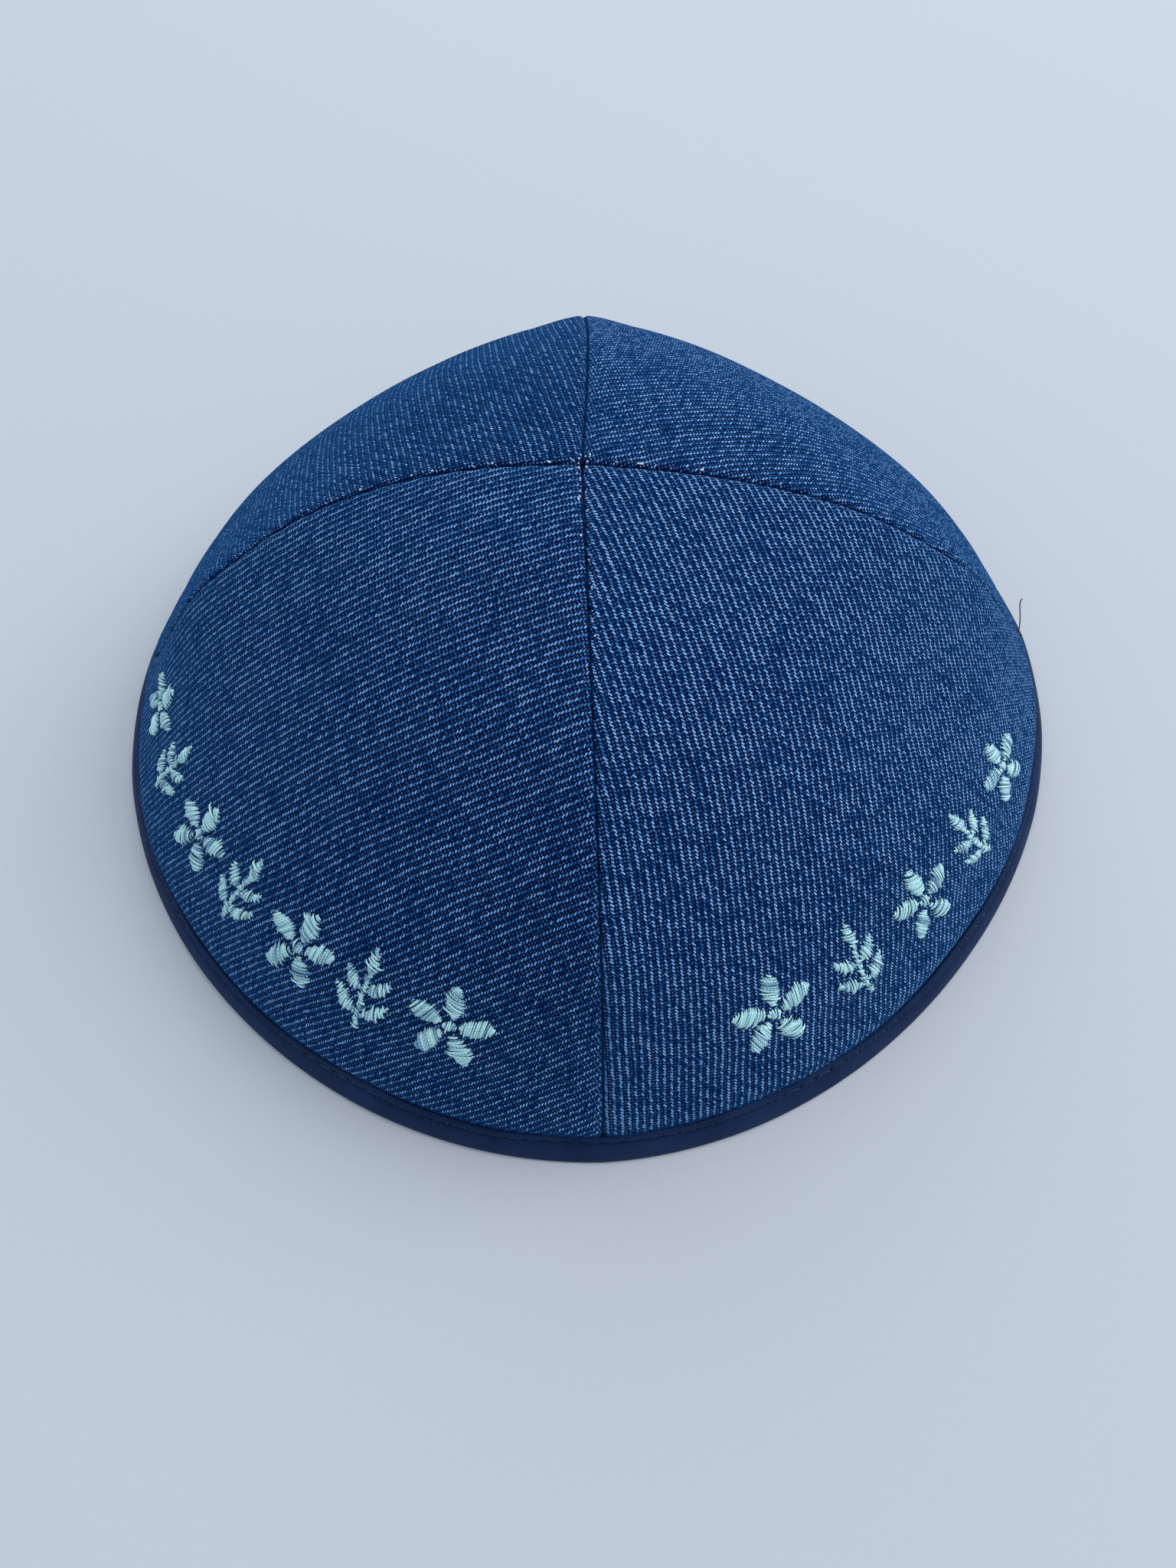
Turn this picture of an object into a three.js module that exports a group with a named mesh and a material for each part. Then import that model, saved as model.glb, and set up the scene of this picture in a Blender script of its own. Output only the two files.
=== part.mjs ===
// A four-panel denim kippah, lying on its rim.
// Millimetres, +Z up, origin on the ground below the middle of the rim.
// The front is at -Y, and the panels meet in seams at the right, back, left and front.

import * as THREE from 'three';

// Driving sizes
const rimRadius = 82; // mean outside radius of the cloth at the rim
const crownHeight = 57.5; // ground to the outside of the crown
const crownForward = 2.4; // how far the crown sits in front of the rim's middle
const crownLeft = 0.4; // and how far to its left
const clothThickness = 1.4;
const seamGap = 0.3; // between the edges of neighbouring panels
const tipRadius = 1.2; // the panels' tips stop this far from the crown point
const tapeThickness = 0.7; // the binding tape
const bindingHeight = 5.2; // ground to the tape's top edge outside
const bindingInsideHeight = 5.6; // ground to the tape's top edge inside
const bindingClearance = 0.3; // between the tape and the cloth that it holds

// Facets
const columnsPerPanel = 16;
const rowsPerPanel = 18;

// Level sections, from the rim up.
// height: share of crownHeight. reach: share of rimRadius, along the seams.
// squareness: 0 is a round section, 1 is a square with its corners on the seams.
const sections = [
  { height: 0.0, reach: 1.0, squareness: 0.02 },
  { height: 0.12, reach: 0.948, squareness: 0.0 },
  { height: 0.26, reach: 0.889, squareness: 0.0 },
  { height: 0.42, reach: 0.825, squareness: 0.11 },
  { height: 0.58, reach: 0.748, squareness: 0.31 },
  { height: 0.73, reach: 0.626, squareness: 0.37 },
  { height: 0.86, reach: 0.477, squareness: 0.41 },
  { height: 0.95, reach: 0.298, squareness: 0.43 },
  { height: 1.0, reach: 0.0, squareness: 0.43 },
];

// The seams, turning left from the right-hand one.
// crown, middle and rim: compass direction in degrees at that height, 0 at +X.
// rimReach: how far the rim stands out there, as a share of rimRadius.
const seams = [
  { crown: -3, middle: -0.5, rim: 7.5, rimReach: 1.0 },
  { crown: 87, middle: 90, rim: 89.5, rimReach: 1.024 },
  { crown: 177, middle: 183, rim: 172.5, rimReach: 1.0 },
  { crown: 271, middle: 271, rim: 270.5, rimReach: 1.024 },
];

// The panels, each from the seam of its own row to the next.
// rimReach: the same share, halfway along the panel's rim.
const panels = [
  { name: 'panel_back_right', rimReach: 0.989 },
  { name: 'panel_back_left', rimReach: 0.98 },
  { name: 'panel_front_left', rimReach: 1.005 },
  { name: 'panel_front_right', rimReach: 0.979 },
];

const denim = { color: 0x2a5480, roughness: 0.92, metalness: 0 };
const navyTape = { color: 0x1b2a50, roughness: 0.6, metalness: 0 };

const up = new THREE.Vector3(0, 0, 1);

// The profile over a seam as knots by length along it, from the rim to the crown
// and one knot past the crown, where it comes down the other side.
function profileKnots() {
  const knots = sections.map((row) => ({
    reach: row.reach * rimRadius,
    height: row.height * crownHeight,
    squareness: row.squareness,
  }));
  const last = knots.length - 1;
  const beyond = knots[last - 1];
  knots.push({ ...beyond, reach: -beyond.reach });
  knots[0].along = 0;
  for (let i = 1; i < knots.length; i += 1) {
    const rise = knots[i].height - knots[i - 1].height;
    const run = knots[i].reach - knots[i - 1].reach;
    knots[i].along = knots[i - 1].along + Math.hypot(rise, run);
  }
  return { knots, length: knots[last].along };
}

const profile = profileKnots();

// A smooth curve through one column of the knots, at a length along the profile.
function smoothThrough(knots, column, along) {
  const slope = knots.map((knot, i) => {
    const before = knots[Math.max(i - 1, 0)];
    const after = knots[Math.min(i + 1, knots.length - 1)];
    const lower = i > 0 ? (knot[column] - before[column]) / (knot.along - before.along) : null;
    const upper = knot === after ? null : (after[column] - knot[column]) / (after.along - knot.along);
    if (lower === null) return upper;
    if (upper === null) return lower;
    const wide = after.along - before.along;
    return (lower * (after.along - knot.along) + upper * (knot.along - before.along)) / wide;
  });
  let i = 0;
  while (i < knots.length - 2 && along > knots[i + 1].along) i += 1;
  const span = knots[i + 1].along - knots[i].along;
  const t = (along - knots[i].along) / span;
  const near = knots[i][column] * (1 + 2 * t) * (1 - t) ** 2 + span * slope[i] * t * (1 - t) ** 2;
  const far = knots[i + 1][column] * t * t * (3 - 2 * t) + span * slope[i + 1] * t * t * (t - 1);
  return near + far;
}

// Straight lines through one column of the knots.
function linearThrough(knots, column, along) {
  let i = 0;
  while (i < knots.length - 2 && along > knots[i + 1].along) i += 1;
  const t = (along - knots[i].along) / (knots[i + 1].along - knots[i].along);
  return THREE.MathUtils.lerp(knots[i][column], knots[i + 1][column], t);
}

// The rim's outline: a closed smooth curve through the seams' and panels' rimReach.
function rimReachAt(around) {
  const stops = panels.flatMap((panel, i) => [seams[i].rimReach, panel.rimReach]);
  const place = around * 2;
  const i = Math.floor(place);
  const t = place - i;
  const stop = (k) => stops[(i + k + stops.length) % stops.length];
  const [p0, p1, p2, p3] = [stop(-1), stop(0), stop(1), stop(2)];
  const bend = 2 * p0 - 5 * p1 + 4 * p2 - p3;
  const turn = 3 * (p1 - p2) + p3 - p0;
  return p1 + 0.5 * t * (p2 - p0 + t * (bend + t * turn));
}

// A seam's direction in radians at a share of the crown's height.
function seamDirection(index, heightShare) {
  const seam = seams[index % seams.length];
  const turns = 360 * Math.floor(index / seams.length);
  const atCrown = seam.crown * heightShare * (2 * heightShare - 1);
  const atMiddle = seam.middle * 4 * heightShare * (1 - heightShare);
  const atRim = seam.rim * (1 - heightShare) * (1 - 2 * heightShare);
  return THREE.MathUtils.degToRad(atCrown + atMiddle + atRim + turns);
}

// A point on the outside of the cloth. panel: row of the panel's table. across: 0 at the
// panel's own seam, 1 at the next. along: length up the profile. aside: a step to the left
// around the cap, in millimetres.
function clothPoint(panel, across, along, aside = 0) {
  const height = Math.min(smoothThrough(profile.knots, 'height', along), crownHeight);
  const heightShare = height / crownHeight;
  const from = seamDirection(panel, heightShare);
  const to = seamDirection(panel + 1, heightShare);
  const quarter = across * (Math.PI / 2);
  const squareness = linearThrough(profile.knots, 'squareness', along);
  const flattened = 1 - squareness + squareness / (Math.cos(quarter) + Math.sin(quarter));
  const rim = 1 + (rimReachAt(panel + across) - 1) * (1 - heightShare);
  const radius = smoothThrough(profile.knots, 'reach', along) * flattened * rim;
  const direction = THREE.MathUtils.lerp(from, to, across) + (aside ? Math.asin(aside / radius) : 0);
  return new THREE.Vector3(
    radius * Math.cos(direction) - crownLeft * heightShare,
    radius * Math.sin(direction) - crownForward * heightShare,
    height,
  );
}

// Outward direction of the cloth. At a seam it is shared by both panels, and mitre says how
// much further the inside corner lies than the wall is thick.
function outward(panel, across, along) {
  const step = 0.2;
  const low = clothPoint(panel, across, along - step);
  const high = clothPoint(panel, across, along + step);
  const climb = high.sub(low);
  const turn = 0.002;
  const left = clothPoint(panel, Math.min(across + turn, 1), along);
  const right = clothPoint(panel, Math.max(across - turn, 0), along);
  const own = left.sub(right).cross(climb).normalize();
  if (across > 0 && across < 1) return { normal: own, mitre: 1 };
  const here = clothPoint(panel, across, along);
  const level = new THREE.Vector3(here.x + crownLeft, here.y + crownForward, 0);
  const shared = up.clone().cross(level).cross(climb).normalize();
  return { normal: shared, mitre: 1 / shared.dot(own) };
}

// The length along the profile at which the cloth reaches a height near the rim.
function alongAtHeight(height) {
  let low = 0;
  let high = profile.length / 2;
  const halvings = 40;
  for (let i = 0; i < halvings; i += 1) {
    const middle = (low + high) / 2;
    if (smoothThrough(profile.knots, 'height', middle) < height) low = middle;
    else high = middle;
  }
  return (low + high) / 2;
}

// A point near the rim, at a height and at a depth below the outside of the cloth.
// A negative depth lies outside it.
function rimPoint(panel, across, height, depth, aside = 0) {
  const along = alongAtHeight(height);
  const step = 0.2;
  const here = clothPoint(panel, across, along, aside);
  const climb = clothPoint(panel, across, along + step, aside).sub(here);
  const inward = new THREE.Vector3(-here.x, -here.y, 0).normalize();
  const lean = Math.hypot(climb.dot(inward), climb.z) / climb.z;
  here.addScaledVector(inward, depth * lean);
  here.z = height;
  return here;
}

function solidFrom(points, triangles) {
  const geometry = new THREE.BufferGeometry();
  geometry.setAttribute('position', new THREE.Float32BufferAttribute(points.flatMap((p) => p.toArray()), 3));
  geometry.setIndex(triangles);
  geometry.computeVertexNormals();
  return geometry;
}

// A closed wall from two grids of the same size, the outside one and the inside one.
function wallBetween(outside, inside) {
  const rows = outside.length;
  const columns = outside[0].length;
  const points = [...outside.flat(), ...inside.flat()];
  const outer = (row, column) => row * columns + column;
  const inner = (row, column) => rows * columns + outer(row, column);
  const triangles = [];
  const quad = (a, b, c, d) => triangles.push(a, b, c, a, c, d);
  for (let row = 0; row < rows - 1; row += 1) {
    for (let column = 0; column < columns - 1; column += 1) {
      quad(outer(row, column), outer(row, column + 1), outer(row + 1, column + 1), outer(row + 1, column));
      quad(inner(row, column), inner(row + 1, column), inner(row + 1, column + 1), inner(row, column + 1));
    }
    const end = columns - 1;
    quad(outer(row, 0), outer(row + 1, 0), inner(row + 1, 0), inner(row, 0));
    quad(outer(row, end), inner(row, end), inner(row + 1, end), outer(row + 1, end));
  }
  for (let column = 0; column < columns - 1; column += 1) {
    const top = rows - 1;
    quad(outer(0, column), inner(0, column), inner(0, column + 1), outer(0, column + 1));
    quad(outer(top, column), outer(top, column + 1), inner(top, column + 1), inner(top, column));
  }
  return solidFrom(points, triangles);
}

// A closed ring from one loop of points at each step around it.
function ringOf(loops) {
  const size = loops[0].length;
  const triangles = [];
  loops.forEach((loop, step) => {
    const next = (step + 1) % loops.length;
    for (let i = 0; i < size; i += 1) {
      const j = (i + 1) % size;
      const [a, b] = [step * size + i, next * size + i];
      const [c, d] = [next * size + j, step * size + j];
      triangles.push(a, b, c, a, c, d);
    }
  });
  return solidFrom(loops.flat(), triangles);
}

// One panel: its lower edge stands in the binding, its tip stops short of the crown point.
function panelGeometry(panel) {
  const bottom = tapeThickness + bindingClearance;
  const start = alongAtHeight(bottom);
  const end = profile.length - tipRadius;
  const outside = [];
  const inside = [];
  for (let row = 0; row <= rowsPerPanel; row += 1) {
    const along = THREE.MathUtils.lerp(start, end, row / rowsPerPanel);
    const outsideRow = [];
    const insideRow = [];
    for (let column = 0; column <= columnsPerPanel; column += 1) {
      const across = column / columnsPerPanel;
      let aside = 0;
      if (column === 0) aside = seamGap / 2;
      if (column === columnsPerPanel) aside = -seamGap / 2;
      const face = clothPoint(panel, across, along, aside);
      const { normal, mitre } = outward(panel, across, along);
      const back = face.clone().addScaledVector(normal, -clothThickness * mitre);
      outsideRow.push(face);
      insideRow.push(row === 0 ? rimPoint(panel, across, bottom, clothThickness, aside) : back);
    }
    outside.push(outsideRow);
    inside.push(insideRow);
  }
  return wallBetween(outside, inside);
}

// The tape folded over the rim: up the outside, under the cloth's edge and up the inside.
// Its underside is flat, and the cap rests on it.
function bindingGeometry() {
  const outFar = -(bindingClearance + tapeThickness);
  const outNear = -bindingClearance;
  const inNear = clothThickness + bindingClearance;
  const inFar = inNear + tapeThickness;
  const section = [
    { height: 0, depth: outFar },
    { height: bindingHeight / 2, depth: outFar },
    { height: bindingHeight, depth: outFar },
    { height: bindingHeight, depth: outNear },
    { height: bindingHeight / 2, depth: outNear },
    { height: tapeThickness, depth: outNear },
    { height: tapeThickness, depth: inNear },
    { height: bindingInsideHeight / 2, depth: inNear },
    { height: bindingInsideHeight, depth: inNear },
    { height: bindingInsideHeight, depth: inFar },
    { height: bindingInsideHeight / 2, depth: inFar },
    { height: 0, depth: inFar },
  ];
  const loops = [];
  for (let step = 0; step < panels.length * columnsPerPanel; step += 1) {
    const panel = Math.floor(step / columnsPerPanel);
    const across = (step % columnsPerPanel) / columnsPerPanel;
    loops.push(section.map((corner) => rimPoint(panel, across, corner.height, corner.depth)));
  }
  return ringOf(loops);
}

function piece(name, geometry, finish) {
  const mesh = new THREE.Mesh(geometry, new THREE.MeshStandardMaterial(finish));
  mesh.name = name;
  return mesh;
}

const kippah = new THREE.Group();
panels.forEach((row, panel) => kippah.add(piece(row.name, panelGeometry(panel), denim)));
kippah.add(piece('rim_binding', bindingGeometry(), navyTape));

export default kippah;
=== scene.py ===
import math
import bpy
import numpy as np
from mathutils import Matrix, Vector


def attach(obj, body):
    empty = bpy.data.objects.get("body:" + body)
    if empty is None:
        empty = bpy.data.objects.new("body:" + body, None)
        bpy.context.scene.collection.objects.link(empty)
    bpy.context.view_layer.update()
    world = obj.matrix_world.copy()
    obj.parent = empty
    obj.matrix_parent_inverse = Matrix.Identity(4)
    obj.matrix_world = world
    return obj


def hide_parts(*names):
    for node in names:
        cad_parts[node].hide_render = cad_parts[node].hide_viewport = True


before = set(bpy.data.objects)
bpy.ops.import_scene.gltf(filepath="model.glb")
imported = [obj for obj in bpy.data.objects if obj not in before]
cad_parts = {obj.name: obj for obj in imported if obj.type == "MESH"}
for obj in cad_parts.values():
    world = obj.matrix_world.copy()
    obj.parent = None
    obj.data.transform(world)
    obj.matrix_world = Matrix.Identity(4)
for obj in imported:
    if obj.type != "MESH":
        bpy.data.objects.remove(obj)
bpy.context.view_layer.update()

mm = 0.001

# The form of the cap, as the CAD has it. Shares are of the crown's height and of the rim's radius.
cap = {
    "rimRadius": 82 * mm,
    "crownHeight": 57.5 * mm,
    "crownForward": 2.4 * mm,
    "crownLeft": 0.4 * mm,
    "heights": (0.0, 0.12, 0.26, 0.42, 0.58, 0.73, 0.86, 0.95, 1.0),
    "reaches": (1.0, 0.948, 0.889, 0.825, 0.748, 0.626, 0.477, 0.298, 0.0),
    "squareness": (0.02, 0.0, 0.0, 0.11, 0.31, 0.37, 0.41, 0.43, 0.43),
    # compass direction of each seam at the crown, half way and at the rim: right, back, left, front
    "seams": ((-3, -0.5, 7.5), (87, 90, 89.5), (177, 183, 172.5), (271, 271, 270.5)),
    # how far the rim stands out at each seam and half way to the next
    "rimReaches": (1.0, 0.989, 1.024, 0.98, 1.0, 1.005, 1.024, 0.979),
    "seamBlend": 2.6 * mm,  # how far from a seam two panels' directions flow into each other
}

knotReach = np.array(cap["reaches"] + (-cap["reaches"][-2],)) * cap["rimRadius"]
knotHeight = np.array(cap["heights"] + (cap["heights"][-2],)) * cap["crownHeight"]
knotSquare = np.array(cap["squareness"] + (cap["squareness"][-2],))
knotAlong = np.concatenate([[0], np.cumsum(np.hypot(np.diff(knotReach), np.diff(knotHeight)))])
profileLength = knotAlong[-2]


def smoothThrough(values, along):
    gaps = np.diff(knotAlong)
    rises = np.diff(values) / gaps
    slopes = np.concatenate([
        rises[:1],
        (rises[1:] * gaps[:-1] + rises[:-1] * gaps[1:]) / (gaps[1:] + gaps[:-1]),
        rises[-1:],
    ])
    i = np.clip(np.searchsorted(knotAlong, along, side="right") - 1, 0, len(gaps) - 1)
    t = (along - knotAlong[i]) / gaps[i]
    near = values[i] * (1 + 2 * t) * (1 - t) ** 2 + gaps[i] * slopes[i] * t * (1 - t) ** 2
    far = values[i + 1] * t * t * (3 - 2 * t) + gaps[i] * slopes[i + 1] * t * t * (t - 1)
    return near + far


def rimReachAt(around):  # around: 0 at the right seam, 1 at the back one, and so on
    stops = np.array(cap["rimReaches"])
    place = np.asarray(around) * 2.0
    i = np.floor(place).astype(int)
    t = place - i
    before, here, after, beyond = (stops[(i + k) % len(stops)] for k in (-1, 0, 1, 2))
    bend = 2 * before - 5 * here + 4 * after - beyond
    turn = 3 * (here - after) + beyond - before
    return here + 0.5 * t * (after - before + t * (bend + t * turn))


def seamDirection(index, share):
    crown, middle, rim = cap["seams"][index % 4]
    turned = 360 * (index // 4)
    return np.radians(
        crown * share * (2 * share - 1) + middle * 4 * share * (1 - share)
        + rim * (1 - share) * (1 - 2 * share) + turned
    )


def clothPoint(panel, across, along):  # across: 0 at the panel's own seam, 1 at the next one
    across, along = np.broadcast_arrays(np.asarray(across, float), np.asarray(along, float))
    height = np.minimum(smoothThrough(knotHeight, along), cap["crownHeight"])
    share = height / cap["crownHeight"]
    quarter = across * math.pi / 2
    square = np.interp(along, knotAlong, knotSquare)
    flattened = 1 - square + square / (np.cos(quarter) + np.sin(quarter))
    rim = 1 + (rimReachAt(panel + across) - 1) * (1 - share)
    radius = smoothThrough(knotReach, along) * flattened * rim
    direction = seamDirection(panel, share) * (1 - across) + seamDirection(panel + 1, share) * across
    return np.stack([
        radius * np.cos(direction) - cap["crownLeft"] * share,
        radius * np.sin(direction) - cap["crownForward"] * share,
        height,
    ], -1)


def unit(vectors):
    return vectors / np.maximum(np.linalg.norm(vectors, axis=-1, keepdims=True), 1e-12)


def ownOutward(panel, across, along):
    step, turn = 0.2 * mm, 0.004
    highest = profileLength - 0.05 * mm
    climb = clothPoint(panel, across, np.minimum(along + step, highest))
    climb = climb - clothPoint(panel, across, np.maximum(along - step, 0))
    side = clothPoint(panel, np.minimum(across + turn, 1), along)
    side = side - clothPoint(panel, np.maximum(across - turn, 0), along)
    return unit(np.cross(side, climb))


def ease(value, low, high):
    t = np.clip((value - low) / (high - low), 0, 1)
    return t * t * (3 - 2 * t)


def outward(panel, across, along, fromLow, fromHigh):
    # at a seam the two panels share one direction, which turns into their own over a few millimetres
    own = ownOutward(panel, across, along)
    atLow = unit(ownOutward(panel, 0 * across, along) + ownOutward((panel - 1) % 4, 0 * across + 1, along))
    atHigh = unit(ownOutward(panel, 0 * across + 1, along) + ownOutward((panel + 1) % 4, 0 * across, along))
    low = (1 - ease(fromLow, 0, cap["seamBlend"]))[..., None]
    high = (1 - ease(fromHigh, 0, cap["seamBlend"]))[..., None]
    return unit(own * np.clip(1 - low - high, 0, 1) + atLow * low + atHigh * high)


widthStops = np.linspace(0, profileLength - 0.1 * mm, 161)
widthTables = []
for panel in range(4):
    edges = clothPoint(panel, np.linspace(0, 1, 61)[:, None], widthStops[None, :])
    widthTables.append(np.linalg.norm(np.diff(edges, axis=0), axis=-1).sum(0))


def panelWidth(panel, along):
    return np.interp(along, widthStops, widthTables[panel])


def alongAtHeight(height):
    stops = np.linspace(0, profileLength / 2, 400)
    return np.interp(height, smoothThrough(knotHeight, stops), stops)


# The cut of a panel: its surface pressed flat with the least stretch. The grain runs up its middle.
flattening = {
    "columns": 15,
    "rows": 17,
    "upTo": 0.985,  # share of the way from the rim to the crown
    "rounds": 80,
    "degree": 5,    # of the smooth surface through the flat net, which keeps kinks out of the weave
}


def layFlat(panel):
    columns, rows = flattening["columns"], flattening["rows"]
    across, along = np.meshgrid(
        np.linspace(0, 1, columns), np.linspace(0, profileLength * flattening["upTo"], rows), indexing="ij")
    net = clothPoint(panel, across, along).reshape(-1, 3)
    at = np.arange(columns * rows).reshape(columns, rows)
    a, b, c, d = (x.ravel() for x in (at[:-1, :-1], at[1:, :-1], at[1:, 1:], at[:-1, 1:]))
    corners = np.concatenate([np.stack([a, b, c], 1), np.stack([a, c, d], 1)])
    # each triangle's own corners in its plane
    p, q, r = net[corners[:, 0]], net[corners[:, 1]], net[corners[:, 2]]
    base = unit(q - p)
    normal = unit(np.cross(q - p, r - p))
    other = np.cross(normal, base)
    rest = np.zeros((len(corners), 3, 2))
    rest[:, 1, 0] = ((q - p) * base).sum(1)
    rest[:, 2, 0] = ((r - p) * base).sum(1)
    rest[:, 2, 1] = ((r - p) * other).sum(1)
    weights = np.zeros((len(corners), 3))
    for k in range(3):  # the cotangent at the corner across from each side
        one = rest[:, k] - rest[:, (k + 2) % 3]
        two = rest[:, (k + 1) % 3] - rest[:, (k + 2) % 3]
        area = np.abs(one[:, 0] * two[:, 1] - one[:, 1] * two[:, 0])
        weights[:, k] = (one * two).sum(1) / area
    size = len(net)
    pull = np.zeros((size, size))
    for k in range(3):
        i, j = corners[:, k], corners[:, (k + 1) % 3]
        np.add.at(pull, (i, i), weights[:, k])
        np.add.at(pull, (j, j), weights[:, k])
        np.add.at(pull, (i, j), -weights[:, k])
        np.add.at(pull, (j, i), -weights[:, k])
    solve = np.linalg.inv(pull + np.eye(size) * 1e-6)
    flat = np.stack([(across - 0.5) * panelWidth(panel, along), along], -1).reshape(-1, 2)
    for _ in range(flattening["rounds"]):
        spread = np.zeros((len(corners), 2, 2))
        for k in range(3):
            now = flat[corners[:, k]] - flat[corners[:, (k + 1) % 3]]
            was = rest[:, k] - rest[:, (k + 1) % 3]
            spread += weights[:, k, None, None] * now[:, :, None] * was[:, None, :]
        turn = np.arctan2(spread[:, 1, 0] - spread[:, 0, 1], spread[:, 0, 0] + spread[:, 1, 1])
        cos, sin = np.cos(turn), np.sin(turn)
        target = np.zeros((size, 2))
        for k in range(3):
            i, j = corners[:, k], corners[:, (k + 1) % 3]
            was = (rest[:, k] - rest[:, (k + 1) % 3]) * weights[:, k, None]
            want = np.stack([cos * was[:, 0] - sin * was[:, 1], sin * was[:, 0] + cos * was[:, 1]], 1)
            np.add.at(target, i, want)
            np.add.at(target, j, -want)
        flat = solve @ target
    flat = flat.reshape(columns, rows, 2)
    middle = columns // 2
    grain = flat[middle, -1] - flat[middle, 0]
    tilt = math.atan2(grain[0], grain[1])
    flat = flat - flat[middle, 0]
    flat = np.stack([
        flat[..., 0] * math.cos(tilt) - flat[..., 1] * math.sin(tilt),
        flat[..., 0] * math.sin(tilt) + flat[..., 1] * math.cos(tilt),
    ], -1)
    degree = flattening["degree"]
    terms = np.polynomial.polynomial.polyvander2d(
        (across * 2 - 1).ravel(), (along / profileLength * 2 - 1).ravel(), (degree, degree))
    fit, *_ = np.linalg.lstsq(terms, flat.reshape(-1, 2), rcond=None)
    return fit.reshape(degree + 1, degree + 1, 2), flat


def onCut(cut, across, along):
    x, y = across * 2 - 1, along / profileLength * 2 - 1
    return np.stack([np.polynomial.polynomial.polyval2d(x, y, cut[..., k]) for k in range(2)], -1)


# Pieces
def makePiece(name, points, faces, finishes, slotName, faceFinish=None, notes=None, replaced=None):
    mesh = bpy.data.meshes.new(name)
    mesh.from_pydata(np.asarray(points).tolist(), [], [list(map(int, face)) for face in faces])
    for key, values in (notes or {}).items():
        kept = mesh.attributes.new(key, "FLOAT_VECTOR", "POINT")
        kept.data.foreach_set("vector", np.asarray(values, np.float32).ravel())
    for finish in finishes:
        mesh.materials.append(finish)
    if faceFinish is not None:
        mesh.polygons.foreach_set("material_index", np.asarray(faceFinish, np.int32))
    mesh.polygons.foreach_set("use_smooth", np.ones(len(mesh.polygons), bool))
    mesh.update()
    piece = bpy.data.objects.new(name, mesh)
    bpy.context.scene.collection.objects.link(piece)
    if slotName:
        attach(piece, "root")
        if replaced:
            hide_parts(replaced)
    print(name, "made of", sum(len(face) - 2 for face in faces), "triangles")
    return piece


def gridFaces(rows, columns, start=0, flip=False):
    at = np.arange(rows * columns).reshape(rows, columns) + start
    quads = np.stack([at[:-1, :-1], at[:-1, 1:], at[1:, 1:], at[1:, :-1]], -1).reshape(-1, 4)
    return quads[:, ::-1] if flip else quads


thread = {"sides": 5, "endThickness": 0.45}


def strands(paths, lifts, radius, flatness=1.0):
    # many threads at once: paths and lifts are (threads, points, 3), a lift points away from the cloth
    count, length = paths.shape[:2]
    sides = thread["sides"]
    forward = unit(np.gradient(paths, axis=1))
    side = unit(np.cross(forward, lifts))
    up = np.cross(side, forward)
    turn = np.arange(sides) / sides * 2 * math.pi
    thick = np.full(length, 1.0)
    thick[0] = thick[-1] = thread["endThickness"]
    rings = np.cos(turn)[None, None, :, None] * side[:, :, None, :]
    rings = rings + flatness * np.sin(turn)[None, None, :, None] * up[:, :, None, :]
    rings = paths[:, :, None, :] + rings * np.reshape(radius, (-1, 1, 1, 1)) * thick[None, :, None, None]
    at = np.arange(count * length * sides).reshape(count, length, sides)
    nextSide = np.roll(at, -1, axis=2)
    quads = np.stack([at[:, :-1], nextSide[:, :-1], nextSide[:, 1:], at[:, 1:]], -1).reshape(-1, 4)
    caps = list(at[:, 0, ::-1]) + list(at[:, -1])
    run = np.linalg.norm(np.diff(paths, axis=1), axis=-1)
    run = np.concatenate([np.zeros((count, 1)), np.cumsum(run, 1)], 1)
    yarn = np.zeros(rings.shape)
    yarn[..., 0] = run[:, :, None]
    yarn[..., 1] = np.arange(sides)[None, None, :] / sides
    yarn[..., 2] = np.arange(count)[:, None, None]
    return rings.reshape(-1, 3), list(quads) + caps, yarn.reshape(-1, 3)


# Materials
class Wire:  # the output of a node, which reads as a number in an expression
    def __init__(self, finish, socket):
        self.finish, self.socket = finish, socket

    def out(self, key):
        return Wire(self.finish, self.socket.node.outputs[key])

    def math(self, operation, first, second=0.0):
        return self.finish.node("Math", {"operation": operation}, {0: first, 1: second})

    def __add__(self, other):
        return self.math("ADD", self, other)

    def __sub__(self, other):
        return self.math("SUBTRACT", self, other)

    def __rsub__(self, other):
        return self.math("SUBTRACT", other, self)

    def __mul__(self, other):
        return self.math("MULTIPLY", self, other)

    def __truediv__(self, other):
        return self.math("DIVIDE", self, other)

    def __rtruediv__(self, other):
        return self.math("DIVIDE", other, self)

    def __pow__(self, other):
        return self.math("POWER", self, other)

    def __rpow__(self, other):
        return self.math("POWER", other, self)

    __radd__, __rmul__ = __add__, __mul__

    def floor(self):
        return self.math("FLOOR", self)

    def fraction(self):
        return self.math("FRACT", self)

    def sine(self):
        return self.math("SINE", self)

    def most(self, other):
        return self.math("MAXIMUM", self, other)


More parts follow.
